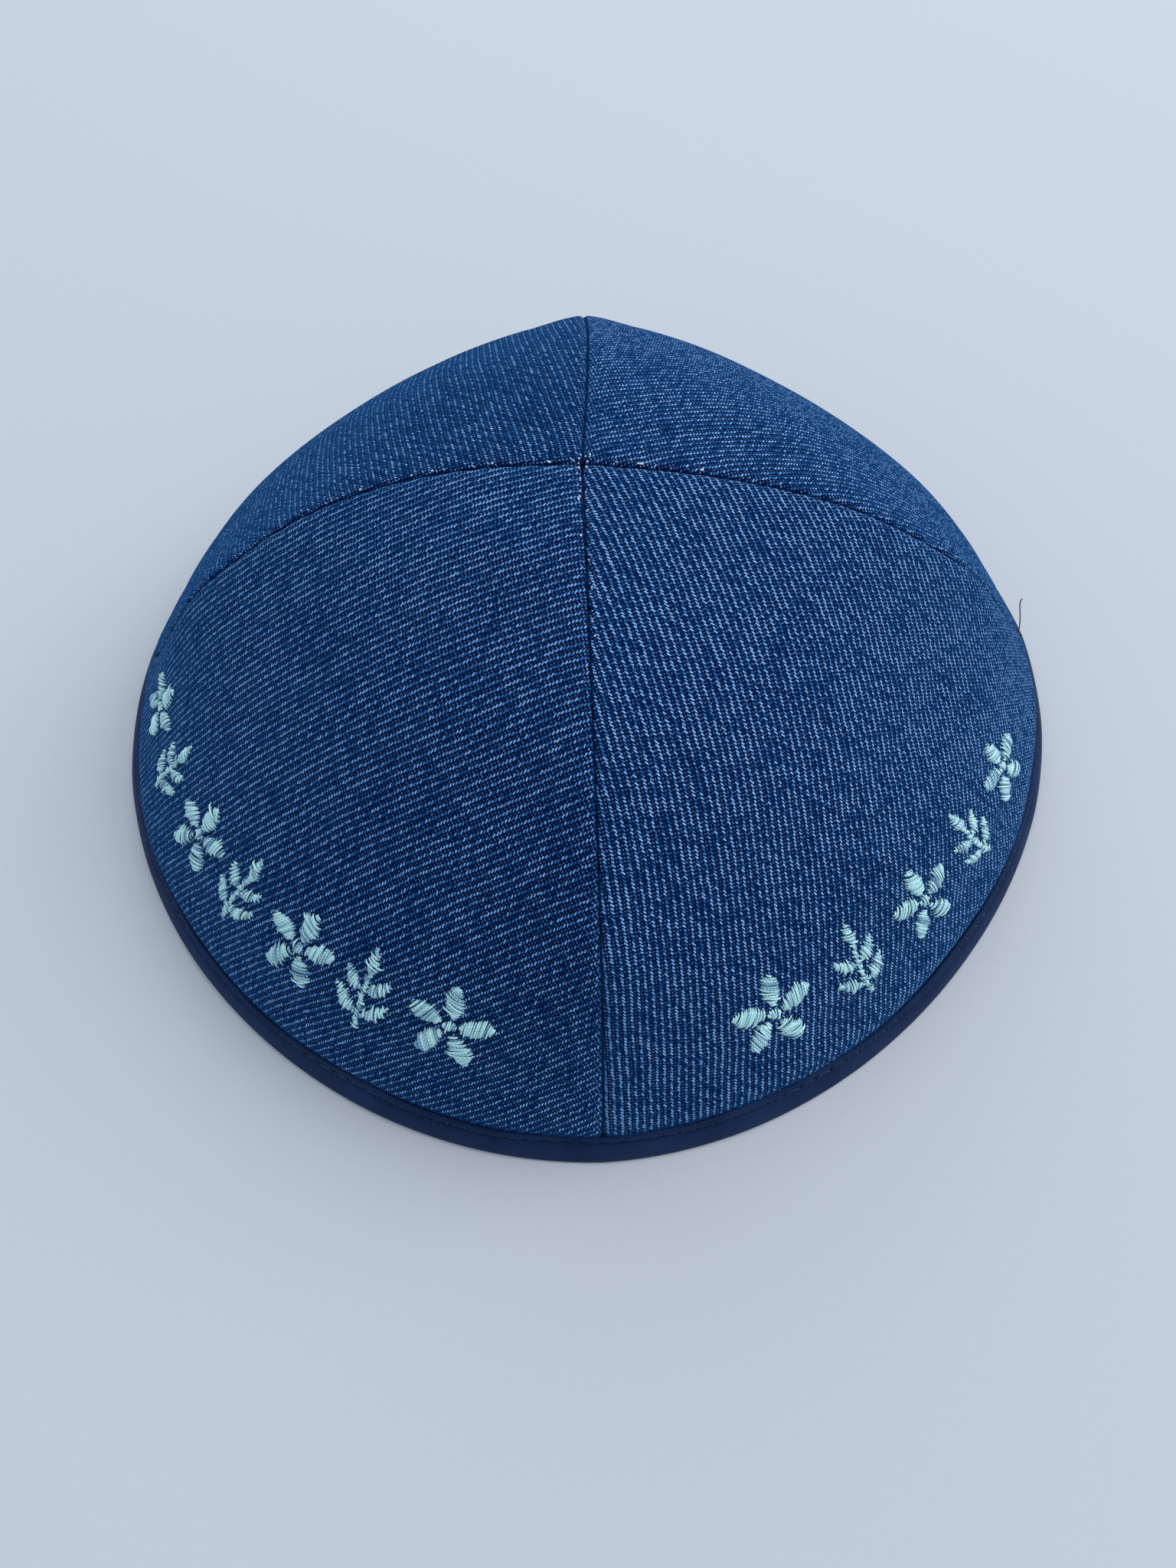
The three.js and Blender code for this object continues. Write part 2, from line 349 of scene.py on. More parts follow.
class Finish:  # a material while it is wired
    def __init__(self, name):
        self.material = bpy.data.materials.new(name)
        self.material.use_nodes = True
        self.tree = self.material.node_tree
        self.tree.nodes.clear()

    def node(self, kind, settings=None, sockets=None):
        made = self.tree.nodes.new("ShaderNode" + kind)
        for key, value in (settings or {}).items():
            if key == "stops":
                stops = made.color_ramp.elements
                while len(stops) < len(value):
                    stops.new(0.5)
                for stop, (place, colour) in zip(stops, value):
                    stop.position, stop.color = place, (*colour, 1.0)
            else:
                setattr(made, key, value)
        for key, value in (sockets or {}).items():
            if isinstance(value, Wire):
                self.tree.links.new(value.socket, made.inputs[key])
            else:
                made.inputs[key].default_value = value
        return Wire(self, made.outputs[0]) if made.outputs else None

    def note(self, name):
        return self.node("Attribute", {"attribute_name": name}).out("Vector")

    def split(self, vector):
        parts = self.node("SeparateXYZ", {}, {0: vector})
        return [parts.out(k) for k in range(3)]

    def join(self, x, y, z):
        return self.node("CombineXYZ", {}, {0: x, 1: y, 2: z})

    def noise(self, vector, scale, detail=2.0):
        return self.node("TexNoise", {}, {"Vector": vector, "Scale": scale, "Detail": detail})

    def chance(self, vector):
        return self.node("TexWhiteNoise", {"noise_dimensions": "3D"}, {"Vector": vector})

    def between(self, value, low, high, to=(0.0, 1.0)):
        return self.node("MapRange", {"interpolation_type": "SMOOTHSTEP"},
                         {0: value, 1: low, 2: high, 3: to[0], 4: to[1]})

    def ramp(self, value, stops):
        return self.node("ValToRGB", {"stops": stops}, {0: value})

    def mix(self, factor, first, second):
        first, second = ((*x, 1.0) if isinstance(x, tuple) else x for x in (first, second))
        return self.node("Mix", {"data_type": "RGBA"}, {0: factor, 6: first, 7: second}).out(2)

    def bump(self, height, depth):
        return self.node("Bump", {}, {"Height": height, "Distance": depth, "Strength": 1.0})

    def done(self, **sockets):
        names = {key: "".join(" " + c if c.isupper() else c for c in key).title() for key in sockets}
        names["iorLevel"] = "Specular IOR Level"
        shader = self.node("BsdfPrincipled", {}, {names[key]: value for key, value in sockets.items()})
        self.node("OutputMaterial", {}, {"Surface": shader})
        return self.material


denim = {
    "endSpacing": 0.34 * mm,   # from one warp thread to the next
    "pickSpacing": 0.40 * mm,  # from one weft thread to the next
    "repeat": 4,               # a warp thread lies over three picks and under one
    "lean": 12.0,              # degrees that the warp leans from the middle of the cut
    # how the threads wander across and along themselves: the noise's scale and how far
    "wanderAcross": ((90.0, 0.5 * mm), (900.0, 0.14 * mm)),
    "wanderAlong": ((60.0, 0.8 * mm), (700.0, 0.4 * mm)),
    "floatMiddle": 1.15,       # where a float is highest, on a scale of 0 to 2, and how much that varies
    "floatVaries": 0.2,
    "crestSpan": 0.58,
    "rubbedSpan": 0.26,        # only the middle of each float is rubbed pale
    "paintedShade": (0.02 * mm, 0.42 * mm),   # from the seam: painted shade that darkens the cloth beside the seam's groove
    "opened": (1.6 * mm, 0.4 * mm),      # from the seam, where the bend opens the weave
    "tapeShadow": (3.9 * mm, 5.3 * mm),  # above the table, behind the tape
    "navy": (0.0002, 0.0035, 0.036),
    "indigo": (0.003, 0.031, 0.132),
    "worn": (0.026, 0.125, 0.35),
    "pale": (0.27, 0.50, 0.86),
    "weft": (0.32, 0.50, 0.78),
    "reverseDeep": (0.16, 0.24, 0.35),
    "reversePale": (0.50, 0.58, 0.66),
    "reliefDepth": 0.2 * mm,
    "reverseDepth": 0.12 * mm,
}


def warpAndWeft(f, grain):  # distance across the warp and along it
    x, y, cut = f.split(grain)
    cos, sin = math.cos(math.radians(denim["lean"])), math.sin(math.radians(denim["lean"]))
    return x * cos + y * sin, y * cos - x * sin, cut


def wander(f, grain, place, waves):
    for scale, reach in waves:
        place = place + (f.noise(grain, scale, 1.0) - 0.5) * reach
    return place


def weaveCells(f, u, v, cut):
    # a point's warp thread and how far across it, its run of picks and how far into that, its float's luck
    endAt = u / denim["endSpacing"]
    end = endAt.floor()
    runAt = (v / denim["pickSpacing"] - end) / denim["repeat"]
    run = runAt.floor()
    return end, endAt - end, runAt, runAt - run, f.chance(f.join(end, run, cut))


def hump(place):  # 1 in the middle, 0 at -1 and at 1
    return 1 - place * place


def denimFace():
    f = Finish("denim_face")
    grain = f.note("grain")
    u, v, cut = warpAndWeft(f, grain)
    u = wander(f, grain, u, denim["wanderAcross"])
    v = wander(f, grain, v, denim["wanderAlong"])
    end, inEnd, _, inRun, luck = weaveCells(f, u, v, cut)
    # a warp thread lies on top for three picks, then dips under one
    alongFloat = inRun * 2 - denim["floatMiddle"] - luck * denim["floatVaries"]
    across = hump(inEnd * 2 - 1)
    crest = (1 - alongFloat * alongFloat / denim["crestSpan"]).most(0.0) * across
    rubbed = (1 - alongFloat * alongFloat / denim["rubbedSpan"]).most(0.0) * across
    dot = hump(inRun * (2 * denim["repeat"]) - 1).most(0.0) * across
    # wear and dye are uneven, from soft clouds down to single threads
    cloud = f.noise(grain, 55.0, 3.0)
    patch = f.noise(grain, 260.0, 2.0)
    slub = f.noise(f.join(end * 0.37, v * 90.0, cut), 1.0, 2.0)
    mottle = f.noise(grain, 950.0, 1.0)
    fade = f.between(cloud * 0.2 + patch * 0.12 + slub * 0.12 + mottle * 0.2, 0.18, 0.46)
    fuzz = f.noise(grain, 3400.0, 1.0) - 0.5
    # place holds the distance from the nearest seam, the height above the table and the panel's painted
    # light and shade
    nearSeam, height, shade = f.split(f.note("place"))
    top = f.between(rubbed + fuzz * 1.7, 0.05, 0.85)
    # painted shade: the cloth is darkened beside each seam, where the groove lies in shade, and a painted
    # shadow darkens it just above the tape
    paintedShade = f.between(nearSeam, *denim["paintedShade"], (0.35, 1.0))
    paintedShade = paintedShade * f.between(height, *denim["tapeShadow"], (0.3, 1.0))
    shine = (0.07 + top * (0.40 + 0.94 * luck)) * (0.88 + 0.22 * fade) * shade * paintedShade
    colour = f.ramp(shine, [
        (0.0, denim["navy"]), (0.3, denim["indigo"]), (0.62, denim["worn"]), (1.0, denim["pale"])])
    # where the cloth is bent into a seam more weft shows
    opened = f.between(nearSeam, *denim["opened"])
    speck = f.between(dot + fuzz * 0.9, 0.35, 0.95) * luck * paintedShade
    colour = f.mix(speck * (0.36 + 0.5 * opened), colour, denim["weft"])
    relief = (crest ** 0.6) + dot * 0.3 + fuzz * 0.35
    return f.done(
        baseColor=colour, roughness=0.9, iorLevel=0.0, sheenWeight=0.42, sheenRoughness=0.28,
        sheenTint=(0.05, 0.36, 0.9, 1.0), normal=f.bump(relief, denim["reliefDepth"]))


def denimReverse():
    f = Finish("denim_reverse")
    grain = f.note("grain")
    u, v, cut = warpAndWeft(f, grain)
    _, inEnd, runAt, inRun, luck = weaveCells(f, u, v, cut)
    ridge = hump((runAt * denim["repeat"]).fraction() * 2 - 1)
    dip = hump(inRun * (2 * denim["repeat"]) - 1).most(0.0) * hump(inEnd * 2 - 1)
    cloud = f.noise(grain, 70.0, 3.0)
    colour = f.mix(ridge * 0.6 + cloud * 0.3, denim["reverseDeep"], denim["reversePale"])
    colour = f.mix(dip * (0.6 + 0.4 * luck), colour, denim["indigo"])
    return f.done(
        baseColor=colour, roughness=0.9, iorLevel=0.2, sheenWeight=0.2, sheenRoughness=0.5,
        sheenTint=(0.8, 0.9, 1.0, 1.0), normal=f.bump(ridge + dip, denim["reverseDepth"]))


tape = {
    "ribSpacing": 0.29 * mm,
    "ribLean": 0.55,  # how far a rib runs along the tape for each step up it
    "crossSpacing": 0.26 * mm,
    "reliefDepth": 0.07 * mm,
    "shade": (0.0018, 0.012, 0.052),
    "light": (0.014, 0.044, 0.140),
}


def tapeFinish():
    f = Finish("navy_tape_cloth")
    weave = f.note("weave")
    around, up, _ = f.split(weave)
    rib = ((around + up * tape["ribLean"]) * (2 * math.pi / tape["ribSpacing"])).sine()
    cross = (up * (2 * math.pi / tape["crossSpacing"])).sine()
    cloud = f.noise(weave, 120.0, 3.0)
    fine = f.noise(weave, 2600.0, 2.0)
    colour = f.mix(f.between(rib * 0.28 + cloud * 0.8 + fine * 0.4, 0.2, 1.1), tape["shade"], tape["light"])
    return f.done(
        baseColor=colour, roughness=0.6, iorLevel=0.12, sheenWeight=0.08, sheenRoughness=0.35,
        sheenTint=(0.4, 0.6, 1.0, 1.0),
        normal=f.bump(rib * 0.8 + cross * 0.35 + fine * 0.7, tape["reliefDepth"]))


threadLooks = {
    "plyTurn": 0.5 * mm,
    "reliefDepth": 0.03 * mm,
    # the aqua satin's wide spread of tone and its bright colour are partly painted glint, for single threads
    # that catch the lamp
    "aqua_thread_satin": {
        "deep": (0.035, 0.19, 0.42), "bright": (0.60, 1.0, 1.0), "toneAndGlint": 0.95,
        "roughness": 0.2, "gloss": 0.7, "sheen": 0.4, "tint": (0.45, 0.85, 1.0)},
    "white_thread_cotton": {
        "deep": (0.42, 0.52, 0.62), "bright": (0.86, 0.92, 0.98), "toneAndGlint": 0.5,
        "roughness": 0.7, "gloss": 0.0, "sheen": 0.3, "tint": (1.0, 1.0, 1.0)},
    "navy_thread": {
        "deep": (0.006, 0.011, 0.035), "bright": (0.03, 0.05, 0.12), "toneAndGlint": 0.5,
        "roughness": 0.6, "gloss": 0.0, "sheen": 0.3, "tint": (0.6, 0.7, 1.0)},
}


def threadFinish(name):
    f = Finish(name)
    look = threadLooks[name]
    run, around, number = f.split(f.note("yarn"))
    luck = f.chance(f.join(number, 0.0, 0.0))
    ply = ((run / threadLooks["plyTurn"] + around * 2) * (2 * math.pi)).sine()
    fibre = f.noise(f.join(run * 1500, around * 9, number), 1.0, 2.0)
    # each thread's brightness is partly its own random tone and partly painted glint: a wide spread stands
    # for threads that catch the lamp
    lit = f.between(luck * look["toneAndGlint"] + fibre * 0.5 + ply * 0.15, 0.2, 0.78)
    return f.done(
        baseColor=f.mix(lit, look["deep"], look["bright"]), roughness=look["roughness"], iorLevel=0.5,
        coatWeight=look["gloss"], coatRoughness=0.25,
        sheenWeight=look["sheen"], sheenRoughness=0.3, sheenTint=(*look["tint"], 1.0),
        normal=f.bump(ply * 0.7 + fibre * 0.5, threadLooks["reliefDepth"]))


denimFaceFinish = denimFace()
denimReverseFinish = denimReverse()
tapeClothFinish = tapeFinish()
aquaFinish = threadFinish("aqua_thread_satin")
whiteFinish = threadFinish("white_thread_cotton")
navyFinish = threadFinish("navy_thread")
print("finishes wired")

# The denim panels
panelMake = {
    # piece, the solid that it stands for, and its painted light and shade: how much lighter or darker its
    # cloth is made for how brightly that side of the cap is lit
    "panels": (
        ("denim_back_right", "panel_back_right", 0.84),
        ("denim_back_left", "panel_back_left", 0.74),
        ("denim_front_left", "panel_front_left", 0.87),
        ("denim_front_right", "panel_front_right", 1.01),
    ),
    "thickness": 1.3 * mm,
    "rollRadius": 1.1 * mm,    # the edges roll into the seam over this far
    "rollDepth": 0.85 * mm,
    "allowance": 8.0 * mm,     # seam allowance, pressed open inside
    "allowanceThick": 0.95 * mm,
    "trimmed": (0.5 * mm, 9.0 * mm),  # from the crown, where the allowances are cut away
    "startHeight": 1.0 * mm,   # of the denim's lower edge, inside the tape
    "backLowest": 0.9 * mm,
    "middleColumns": 84,
    "rowSpacing": 0.78 * mm,
    # soft swellings beside a seam: how high, how far from the seam, how wide
    "besideSeam": ((0.16 * mm, 3.4 * mm, 2.4 * mm), (-0.06 * mm, 9.0 * mm, 1.0 * mm)),
    # puckers along a seam: how long, their share, where they start
    "puckers": ((5.2 * mm, 1.0, 0.0), (3.1 * mm, 0.6, 1.3)),
    "puckerDepth": 0.05 * mm,
    "puckerReach": 2.6 * mm,
    "pitDepth": 0.75 * mm,     # at the crown, where the four points meet
    "pitReach": 0.75 * mm,
    "tuckDepth": 0.62 * mm,    # where the cloth goes in behind the tape
    "tuckHeights": (3.3 * mm, 5.6 * mm),
    "aboveTape": (0.30 * mm, 7.4 * mm, 2.4 * mm),  # how high it swells, at what height, how wide
    "swells": 14,
    "swellWaves": 70,
    "swellSize": (0.05 * mm, 0.11 * mm),
}
# the mesh's columns by their distance from a seam, and its last rows by theirs from the crown
sideSteps = np.array([
    0.03, 0.11, 0.24, 0.4, 0.58, 0.8, 1.1, 1.6, 2.4, 3.4, 4.6, 6.0, 7.2, 7.7, 8.0, 8.2, 8.6, 9.6]) * mm
tipSteps = np.array([0.3, 0.5, 0.75, 1.05, 1.4, 1.8, 2.3, 2.9, 3.6]) * mm
luckyNumbers = np.random.default_rng(5771)
swells = []
for _ in range(panelMake["swells"]):
    wave, phase = luckyNumbers.normal(0, 1, 3) * panelMake["swellWaves"], luckyNumbers.uniform(0, 6.3)
    swells.append((wave, phase, luckyNumbers.uniform(*panelMake["swellSize"])))


def swellAt(points):  # the cloth's soft unevenness
    return sum(size * np.sin(points @ wave + phase) for wave, phase, size in swells)


def mound(place, middle, width):
    return np.exp(-((place - middle) / width) ** 2)


def faceLift(points, along, fromLow, fromHigh):  # how far the finished face lies outside the plain form
    lift = swellAt(points)
    pucker = sum(
        share * np.sin(along / length * 2 * math.pi + start)
        for length, share, start in panelMake["puckers"])
    for near in (fromLow, fromHigh):
        inside = np.clip(1 - near / panelMake["rollRadius"], 0, 1)
        lift = lift - panelMake["rollDepth"] * (1 - np.sqrt(1 - inside ** 2))
        for size, middle, width in panelMake["besideSeam"]:
            lift = lift + size * mound(near, middle, width)
        lift = lift + panelMake["puckerDepth"] * pucker * mound(near, 0, panelMake["puckerReach"])
    lift = lift - panelMake["pitDepth"] * mound(profileLength - along, 0, panelMake["pitReach"])
    height = points[..., 2]
    lift = lift - panelMake["tuckDepth"] * (1 - ease(height, *panelMake["tuckHeights"]))
    size, middle, width = panelMake["aboveTape"]
    return lift + size * mound(height, middle, width)


def onCloth(panel, across, along, lift=0.0):  # a point on the finished face, and the way out from it
    wide = panelWidth(panel, along)
    fromLow, fromHigh = across * wide, (1 - across) * wide
    points = clothPoint(panel, across, along)
    out = outward(panel, across, along, fromLow, fromHigh)
    return points + out * (faceLift(points, along, fromLow, fromHigh) + lift)[..., None], out


def edgeFaces(outer, inner):  # the four edges that join the face to the back
    strips = []
    for front, back, flip in (
            (outer[:, 0], inner[:, 0], False), (outer[:, -1], inner[:, -1], True),
            (outer[0], inner[0], True), (outer[-1], inner[-1], False)):
        strip = np.stack([front[:-1], front[1:], back[1:], back[:-1]], 1)
        strips.append(strip[:, ::-1] if flip else strip)
    return np.concatenate(strips)


def denimPanel(panel, name, node, shade):
    cut, flat = layFlat(panel)
    start = alongAtHeight(panelMake["startHeight"])
    count = int((profileLength - tipSteps[-1] - start) / panelMake["rowSpacing"])
    rows = np.concatenate([np.linspace(start, profileLength - tipSteps[-1], count)[:-1],
                           profileLength - tipSteps[::-1]])
    wide = panelWidth(panel, rows)
    squeeze = np.minimum(1, wide / (2.3 * sideSteps[-1]))
    near = sideSteps[None, :] * squeeze[:, None]
    share = np.linspace(0, 1, panelMake["middleColumns"] + 2)[1:-1]
    middle = near[:, -1:] + (wide[:, None] - 2 * near[:, -1:]) * share
    fromLow = np.concatenate([near, middle, (wide[:, None] - near)[:, ::-1]], 1)
    fromHigh = wide[:, None] - fromLow
    across = fromLow / wide[:, None]
    along = np.repeat(rows[:, None], across.shape[1], 1)
    points = clothPoint(panel, across, along)
    out = outward(panel, across, along, fromLow, fromHigh)
    face = points + out * faceLift(points, along, fromLow, fromHigh)[..., None]
    nearest = np.minimum(fromLow, fromHigh)
    allowance = 1 - ease(nearest, panelMake["allowance"] - 0.15 * mm, panelMake["allowance"] + 0.15 * mm)
    allowance = allowance * (0.35 + 0.65 * ease(nearest, 0, 0.9 * mm))
    whole = ease(profileLength - along, *panelMake["trimmed"])
    depth = panelMake["thickness"] + panelMake["allowanceThick"] * allowance * (0.25 + 0.75 * whole)
    back = points + out * (np.minimum(swellAt(points), 0.2 * mm) - depth)[..., None]
    back[..., 2] = np.maximum(back[..., 2], panelMake["backLowest"])
    rowCount, columnCount = across.shape
    size = rowCount * columnCount
    outer = np.arange(size).reshape(rowCount, columnCount)
    outerFaces = gridFaces(rowCount, columnCount)
    innerFaces = gridFaces(rowCount, columnCount, size, True)
    faces = np.concatenate([outerFaces, innerFaces, edgeFaces(outer, outer + size)])
    reverse = (nearest[:-1, :-1] > panelMake["allowance"]).ravel().astype(int)
    reverse = reverse | (nearest[:-1, 1:] > panelMake["allowance"]).ravel().astype(int)
    faceFinish = np.zeros(len(faces), int)
    faceFinish[len(outerFaces):len(outerFaces) + len(innerFaces)] = reverse
    grain = onCut(cut, across, along)
    grain = np.concatenate([grain, np.full((*across.shape, 1), 0.31 * (panel + 1))], -1).reshape(-1, 3)
    # the third part of place is the panel's painted light and shade
    place = np.stack([nearest, points[..., 2], np.full(nearest.shape, shade)], -1).reshape(-1, 3)
    piece = makePiece(
        name, np.concatenate([face.reshape(-1, 3), back.reshape(-1, 3)]), faces,
        [denimFaceFinish, denimReverseFinish], "denim", faceFinish,
        {"grain": np.concatenate([grain, grain]), "place": np.concatenate([place, place])}, node)
    spans = flat.reshape(-1, 2)
    cutSize = spans.max(0) - spans.min(0)
    widths = widthTables[panel]
    cutArea = ((widths[1:] + widths[:-1]) / 2 * np.diff(widthStops)).sum()
    print(name, "cut", np.round(cutSize / mm, 1), "mm, area", round(cutArea * 1e4, 1), "square cm")


for panel, (name, node, shade) in enumerate(panelMake["panels"]):
    denimPanel(panel, name, node, shade)

# The tape round the rim
binding = {
    "steps": 1200,
    "stitches": 196,
    # the fold of the tape, from under the rim up the outside, over its edge, down again and up the inside:
    # height above the table and depth below the outside of the denim, in millimetres
    "fold": (
        (0.0, 0.7), (0.0, 0.3), (0.1, 0.02), (0.38, -0.2), (0.9, -0.34), (1.6, -0.38), (2.2, -0.34),
        (2.6, -0.24), (2.82, -0.06), (2.95, 0.16), (3.04, 0.34), (3.16, 0.34), (3.26, 0.14), (3.42, -0.1),
        (3.66, -0.2), (3.9, -0.14), (4.06, 0.06), (4.04, 0.28), (3.85, 0.42), (2.5, 0.44), (0.95, 0.4),
        (0.78, 0.55), (0.78, 1.2), (0.95, 1.42), (2.8, 1.44), (5.3, 1.46), (5.58, 1.62), (5.6, 1.85),
        (5.45, 2.05), (5.1, 2.12), (4.75, 2.02), (4.6, 1.84), (4.45, 1.86), (4.3, 2.06), (3.6, 2.18),
        (2.2, 2.22), (1.0, 2.14), (0.4, 1.9), (0.1, 1.5), (0.0, 1.0),
    ),
    # how the tape's height wavers and its outside bulges on the way round: size, waves, where they start
    "wavers": ((0.05, 9, 1.0), (0.04, 16, 2.2), (0.025, 37, 0.0)),
    "bulges": ((0.09 * mm, 13, 0.6), (0.06 * mm, 29, 2.0)),
    "quarterLength": 125 * mm,        # about one panel's rim
    "lumpThick": 0.95 * mm,           # more cloth inside the fold where a seam runs into it
    "lumpReach": (7.0 * mm, 10.0 * mm),
    "grooveHeight": 3.1 * mm,
    "grooveWidth": 0.6 * mm,
    "pull": 0.1 * mm,                 # how far each stitch pulls the tape in
    "stitchRows": ((3.1 * mm, 0.2 * mm), (4.55 * mm, 1.93 * mm)),  # outside and inside: height and depth
    "stitchBow": (0.2 * mm, 0.03 * mm, 0.0, 0.03 * mm, 0.2 * mm),  # how far outwards each of its points lies
    "stitchRadius": 0.13 * mm,
}


def rimPoint(around, height, depth):  # around: 0 to 4, one for each panel
    panel = np.floor(around).astype(int) % 4
    across = around - np.floor(around)
    along = alongAtHeight(height)
    here = np.zeros((len(around), 3))
    climb = np.zeros_like(here)
    for which in range(4):
        mine = panel == which
        here[mine] = clothPoint(which, across[mine], along[mine])
        climb[mine] = clothPoint(which, across[mine], along[mine] + 0.2 * mm) - here[mine]
    inward = unit(here * np.array([-1, -1, 0]))
    lean = np.hypot((climb * inward).sum(-1), climb[..., 2]) / climb[..., 2]
    here = here + inward * (depth * lean)[..., None]
    here[..., 2] = height
    return here


def roundTheRim(around, waves):
    return sum(size * np.sin(around * math.pi / 2 * count + start) for size, count, start in waves)


def wavered(height, around):  # the tape isn't sewn on quite evenly, least of all its edges
    return height * (1 + roundTheRim(around, binding["wavers"]) * ease(height, 1.5 * mm, 5 * mm))


def seamLump(around):
    fromSeam = np.abs(around - np.round(around)) * binding["quarterLength"]
    return binding["lumpThick"] * (1 - ease(fromSeam, *binding["lumpReach"]))


def bindingTape():
    fold = np.array(binding["fold"]) * mm
    steps, size = binding["steps"], len(fold)
    around = np.arange(steps) / steps * 4
    bulge = roundTheRim(around, binding["bulges"])
    pulled = np.cos(around * math.pi / 2 * binding["stitches"])
    grid = np.zeros((steps, size, 3))
    for k, (height, depth) in enumerate(fold):
        far = depth + np.where(depth > 1.0 * mm, seamLump(around), 0)
        far = far - bulge * ease(height, 0, 2 * mm) * (depth < 0)
        if depth < 0.3 * mm:
            groove = mound(height, binding["grooveHeight"], binding["grooveWidth"])
            far = far + binding["pull"] * pulled * groove
        grid[:, k] = rimPoint(around, wavered(height, around), far)
    at = np.arange(steps * size).reshape(steps, size)
    a, b = at, np.roll(at, -1, 0)
    faces = np.stack([a, b, np.roll(b, -1, 1), np.roll(a, -1, 1)], -1).reshape(-1, 4)
    lengths = np.linalg.norm(np.diff(grid[:, 0], axis=0, append=grid[:1, 0]), axis=-1)
    distance = np.concatenate([[0], np.cumsum(lengths)[:-1]])
    up = np.concatenate([[0], np.cumsum(np.linalg.norm(np.diff(fold, axis=0), axis=1))])
    weave = np.zeros((steps, size, 3))
    weave[..., 0], weave[..., 1] = distance[:, None], up[None, :]
    print("tape cut", round(lengths.sum() / mm, 1), "mm long")
    makePiece("binding_tape", grid.reshape(-1, 3), faces, [tapeClothFinish], "navy_tape",
              notes={"weave": weave.reshape(-1, 3)}, replaced="rim_binding")


def bindingStitches():
    count, steps = binding["stitches"], len(binding["stitchBow"])
    spans = []
    for height, depth in binding["stitchRows"]:
        at = (np.arange(count)[:, None] + 0.1 + np.linspace(0, 0.8, steps)[None, :]) / count * 4
        around = at.ravel()
        far = depth + (seamLump(around) - np.tile(binding["stitchBow"], count))
        spans.append(rimPoint(around, wavered(height, around), far).reshape(count, steps, 3))
    paths = np.concatenate(spans)
    away = unit(paths * np.array([1, 1, 0]))
    away[count:] *= -1
    points, faces, yarn = strands(paths, away, binding["stitchRadius"])
    makePiece("binding_stitches", points, faces, [navyFinish], "navy_tape", notes={"yarn": yarn})


bindingTape()
bindingStitches()

# The embroidered border: blossoms and sprigs in satin stitch, drawn in millimetres about each one's middle
border = {
    # panel, and where across it each motif stands
    "places": {2: (0.115, 0.235, 0.35, 0.465, 0.58, 0.695, 0.81), 3: (0.215, 0.345, 0.475, 0.60, 0.725)},
    "bandHeight": {2: 21.6 * mm, 3: 19.8 * mm},
    "petals": 5,
    "petalRun": (1.5, 6.2),    # from the blossom's middle
    "heartHalf": 0.9,
    "stemRun": (-6.2, 3.0),
    "topLeafRun": (2.9, 6.9),
    "leaves": ((-3.6, 4.9), (0.1, 4.3)),  # height on the stem and length of each pair
    "leafWay": (0.84, 0.56),
    "pitch": 0.24,             # from one stitch to the next
    "ragged": 0.3,             # how unevenly the stitches end
    "threadRadius": 0.155 * mm,
    "threadFlatness": 0.8,
    "loft": 0.5 * mm,          # how high the longest stitches stand off the cloth
    "sunk": 0.12 * mm,         # how deep their ends go in
    "stitchPoints": 7,
}


def satin(spine, halfWidth, slant, random):
    spine = np.asarray(spine, float)
    run = np.concatenate([[0], np.cumsum(np.linalg.norm(np.diff(spine, axis=0), axis=1))])
    count = max(3, int(run[-1] / border["pitch"]))
    at = np.linspace(0, run[-1], count) + random.normal(0, 0.03, count)
    middle = np.stack([np.interp(at, run, spine[:, k]) for k in range(2)], 1)
    ahead = np.stack([np.interp(at + 0.2, run, spine[:, k]) for k in range(2)], 1)
    behind = np.stack([np.interp(at - 0.2, run, spine[:, k]) for k in range(2)], 1)
    forward = unit(ahead - behind)
    side = np.stack([-forward[:, 1], forward[:, 0]], 1)
    half = halfWidth(np.clip(at / run[-1], 0, 1))[:, None]
    reach = half + np.abs(random.normal(0, border["ragged"], (count, 2))) - border["ragged"] / 2
    lean = slant * half + random.normal(0, 0.07, count)[:, None]
    return [
        (m + s * r[0] + f * l, m - s * r[1] - f * l)
        for m, s, f, r, l in zip(middle, side, forward, reach, lean)
    ]


def arc(start, end, bow, count=12):
    start, end = np.array(start, float), np.array(end, float)
    t = np.linspace(0, 1, count)[:, None]
    side = np.array([start[1] - end[1], end[0] - start[0]])
    return start * (1 - t) + end * t + side * bow * 4 * t * (1 - t)


def petalShape(t):  # half widths along a motif's parts, t runs from 0 to 1
    return 0.3 + 1.25 * np.sin(math.pi * t ** 1.15) ** 0.7


def leafShape(t):
    return 0.1 + 0.85 * np.sin(math.pi * t ** 0.8)


def heartShape(t):
    return 0.3 + 0.65 * np.sin(math.pi * t)


def stemShape(t):
    return 0.42 - 0.12 * t


def blossom(random):
    stitches = []
    start, end = border["petalRun"]
    for k in range(border["petals"]):
        angle = math.radians(90 + 360 / border["petals"] * k + random.normal(0, 3))
        way = np.array([math.cos(angle), math.sin(angle)])
        stitches += satin(arc(way * start, way * end, 0.02), petalShape, 0.3, random)
    half = border["heartHalf"]
    return stitches + satin(arc((-half, 0), (half, 0), 0), heartShape, 0.0, random)


def sprig(random):
    lean = random.normal(0, 0.4)
    foot, head = border["stemRun"]
    stem = arc((0, foot), (lean, head), 0.05)
    stitches = satin(stem, stemShape, 0.5, random)
    for height, length in border["leaves"]:
        x = np.interp(height, stem[:, 1], stem[:, 0])
        out, up = length * border["leafWay"][0], length * border["leafWay"][1]
        for side in (1, -1):
            leaf = arc((x + side * 0.6, height), (x + side * out, height + up), -0.1 * side)
            stitches += satin(leaf, leafShape, 0.4 * side, random)
    low, high = border["topLeafRun"]
    return stitches + satin(arc((lean, low), (lean * 1.3, high), 0), leafShape, 0.4, random)


